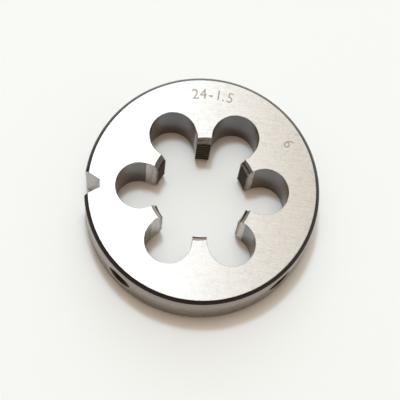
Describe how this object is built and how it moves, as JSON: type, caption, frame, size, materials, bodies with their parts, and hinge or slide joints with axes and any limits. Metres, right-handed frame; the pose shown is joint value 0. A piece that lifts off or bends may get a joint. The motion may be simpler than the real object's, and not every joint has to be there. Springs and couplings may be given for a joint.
{
  "type": "threading die",
  "caption": "Round threading die: a closed steel disc with clearance holes around a right-hand thread, a V notch and conical recesses in its rim.",
  "frame": {"origin": "on the thread axis, in the plane of the lower face", "axes": "+Z along the thread axis, towards the marked face; -X towards the adjusting notch in the rim"},
  "size_m": [0.0548, 0.055, 0.016],
  "materials": {
    "tool_steel": "hardened tool steel, faces surface-ground bright, rim turned and polished, chamfer and thread dark"
  },
  "bodies": {
    "root": {"threading_die": "tool_steel"}
  },
  "joints": []
}
